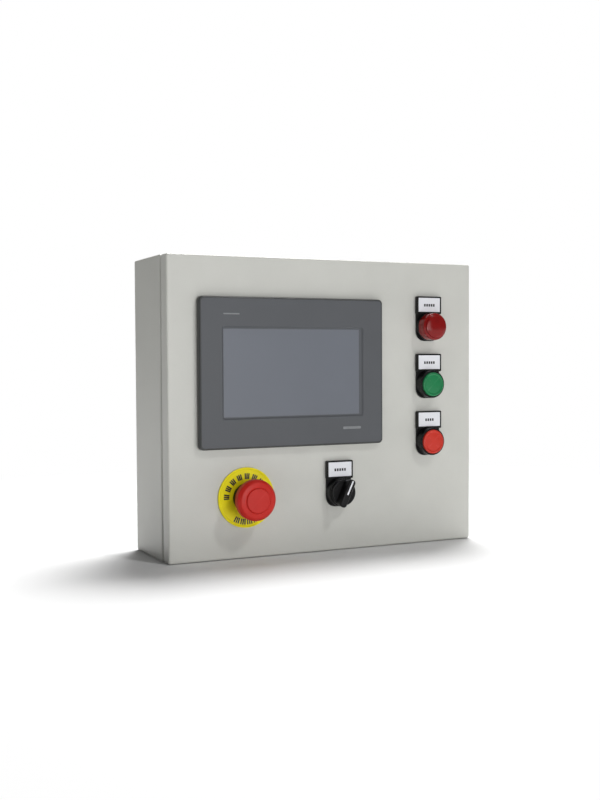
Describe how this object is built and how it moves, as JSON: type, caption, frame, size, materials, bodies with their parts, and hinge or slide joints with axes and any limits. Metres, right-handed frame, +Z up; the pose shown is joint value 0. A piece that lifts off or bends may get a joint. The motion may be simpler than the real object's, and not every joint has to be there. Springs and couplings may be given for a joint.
{
  "type": "hmi touch panel enclosure",
  "caption": "Wall enclosure with a hinged door carrying a touch screen, an emergency stop, a selector switch, push buttons and a pilot light.",
  "frame": {"origin": "centre of the rear mounting face", "axes": "+X to the right seen from the front, +Y out of the rear face towards the wall, +Z up; the door faces -Y"},
  "size_m": [0.3508, 0.1325, 0.3],
  "materials": {
    "enclosure_paint": "fine-textured light grey powder coat",
    "door_paint": "fine-textured light grey powder coat",
    "zinc_steel": "bright zinc plating",
    "bright_steel": "nickel-plated, satin",
    "hmi_bezel_plastic": "fine-grained slate grey moulding",
    "hmi_case_plastic": "dark grey moulding",
    "touch_film": "blue-grey anti-glare touch film over an unlit display",
    "foam_rubber": "black foamed seal",
    "grey_moulding": "mid grey moulding",
    "black_plastic": "satin black moulding",
    "block_plastic": "dark moulding of the switching blocks",
    "legend_white": "white legend card",
    "button_green": "green moulding",
    "button_red": "red moulding",
    "estop_red": "signal red moulding",
    "estop_yellow": "yellow moulding",
    "lens_red": "clear dark red lens"
  },
  "bodies": {
    "enclosure": {"enclosure_body": "enclosure_paint", "gland_plate": "enclosure_paint", "gland_gasket": "foam_rubber", "mounting_plate": "zinc_steel", "plate_nut_1": "zinc_steel", "plate_nut_2": "zinc_steel", "plate_nut_3": "zinc_steel", "plate_nut_4": "zinc_steel", "din_rail": "zinc_steel", "power_supply": "grey_moulding", "terminal_strip": "grey_moulding", "hinge_pintle_top": "bright_steel", "hinge_pintle_bottom": "bright_steel", "lock_housing": "bright_steel", "lock_nut": "zinc_steel"},
    "lock": {"lock_cam": "bright_steel"},
    "door": {"door_panel": "door_paint", "door_gasket": "foam_rubber", "hinge_leaf_top": "bright_steel", "hinge_leaf_bottom": "bright_steel", "lock_keeper": "bright_steel", "hmi_bezel": "hmi_bezel_plastic", "hmi_gasket": "foam_rubber", "hmi_touch_screen": "touch_film", "hmi_display_module": "grey_moulding", "hmi_rear_case": "hmi_case_plastic", "hmi_clamp_1": "grey_moulding", "hmi_clamp_2": "grey_moulding", "hmi_clamp_3": "grey_moulding", "hmi_clamp_4": "grey_moulding", "pilot_holder": "black_plastic", "pilot_label": "legend_white", "pilot_body": "black_plastic", "pilot_lens": "lens_red", "pilot_collar": "black_plastic", "pilot_led_module": "block_plastic", "start_holder": "black_plastic", "start_label": "legend_white", "start_body": "black_plastic", "start_collar": "black_plastic", "start_contact_block": "block_plastic", "stop_holder": "black_plastic", "stop_label": "legend_white", "stop_body": "black_plastic", "stop_collar": "black_plastic", "stop_contact_block": "block_plastic", "selector_holder": "black_plastic", "selector_label": "legend_white", "selector_body": "black_plastic", "selector_collar": "black_plastic", "selector_contact_block": "block_plastic", "estop_legend_disc": "estop_yellow", "estop_body": "black_plastic", "estop_collar": "black_plastic", "estop_contact_block": "block_plastic"},
    "start_cap": {"start_button": "button_green"},
    "stop_cap": {"stop_button": "button_red"},
    "selector": {"selector_knob": "black_plastic"},
    "estop_stem": {"estop_plunger": "black_plastic"},
    "estop_mushroom": {"estop_head": "estop_red"}
  },
  "joints": [
    {"name": "door_hinge", "type": "hinge", "parent": "enclosure", "child": "door", "pos_m": [-0.1675, -0.0905, 0], "axis": [0, 0, -1], "range_deg": [0, 105]},
    {"name": "lock_turn", "type": "hinge", "parent": "enclosure", "child": "lock", "pos_m": [0.152, -0.06, 0], "axis": [1, 0, 0], "range_deg": [0, 90]},
    {"name": "start_press", "type": "slide", "parent": "door", "child": "start_cap", "axis": [0, 1, 0], "range_m": [0, 0.004], "stiffness_N_per_m": 400, "springref_m": -0.002},
    {"name": "stop_press", "type": "slide", "parent": "door", "child": "stop_cap", "axis": [0, 1, 0], "range_m": [0, 0.004], "stiffness_N_per_m": 400, "springref_m": -0.002},
    {"name": "selector_turn", "type": "hinge", "parent": "door", "child": "selector", "pos_m": [0.0103, -0.11, -0.089], "axis": [0, -1, 0], "range_deg": [0, 50]},
    {"name": "estop_press", "type": "slide", "parent": "door", "child": "estop_stem", "axis": [0, 1, 0], "range_m": [0, 0.005]},
    {"name": "estop_twist", "type": "hinge", "parent": "estop_stem", "child": "estop_mushroom", "pos_m": [-0.093, -0.12, -0.089], "axis": [0, 1, 0], "range_deg": [0, 45]}
  ]
}
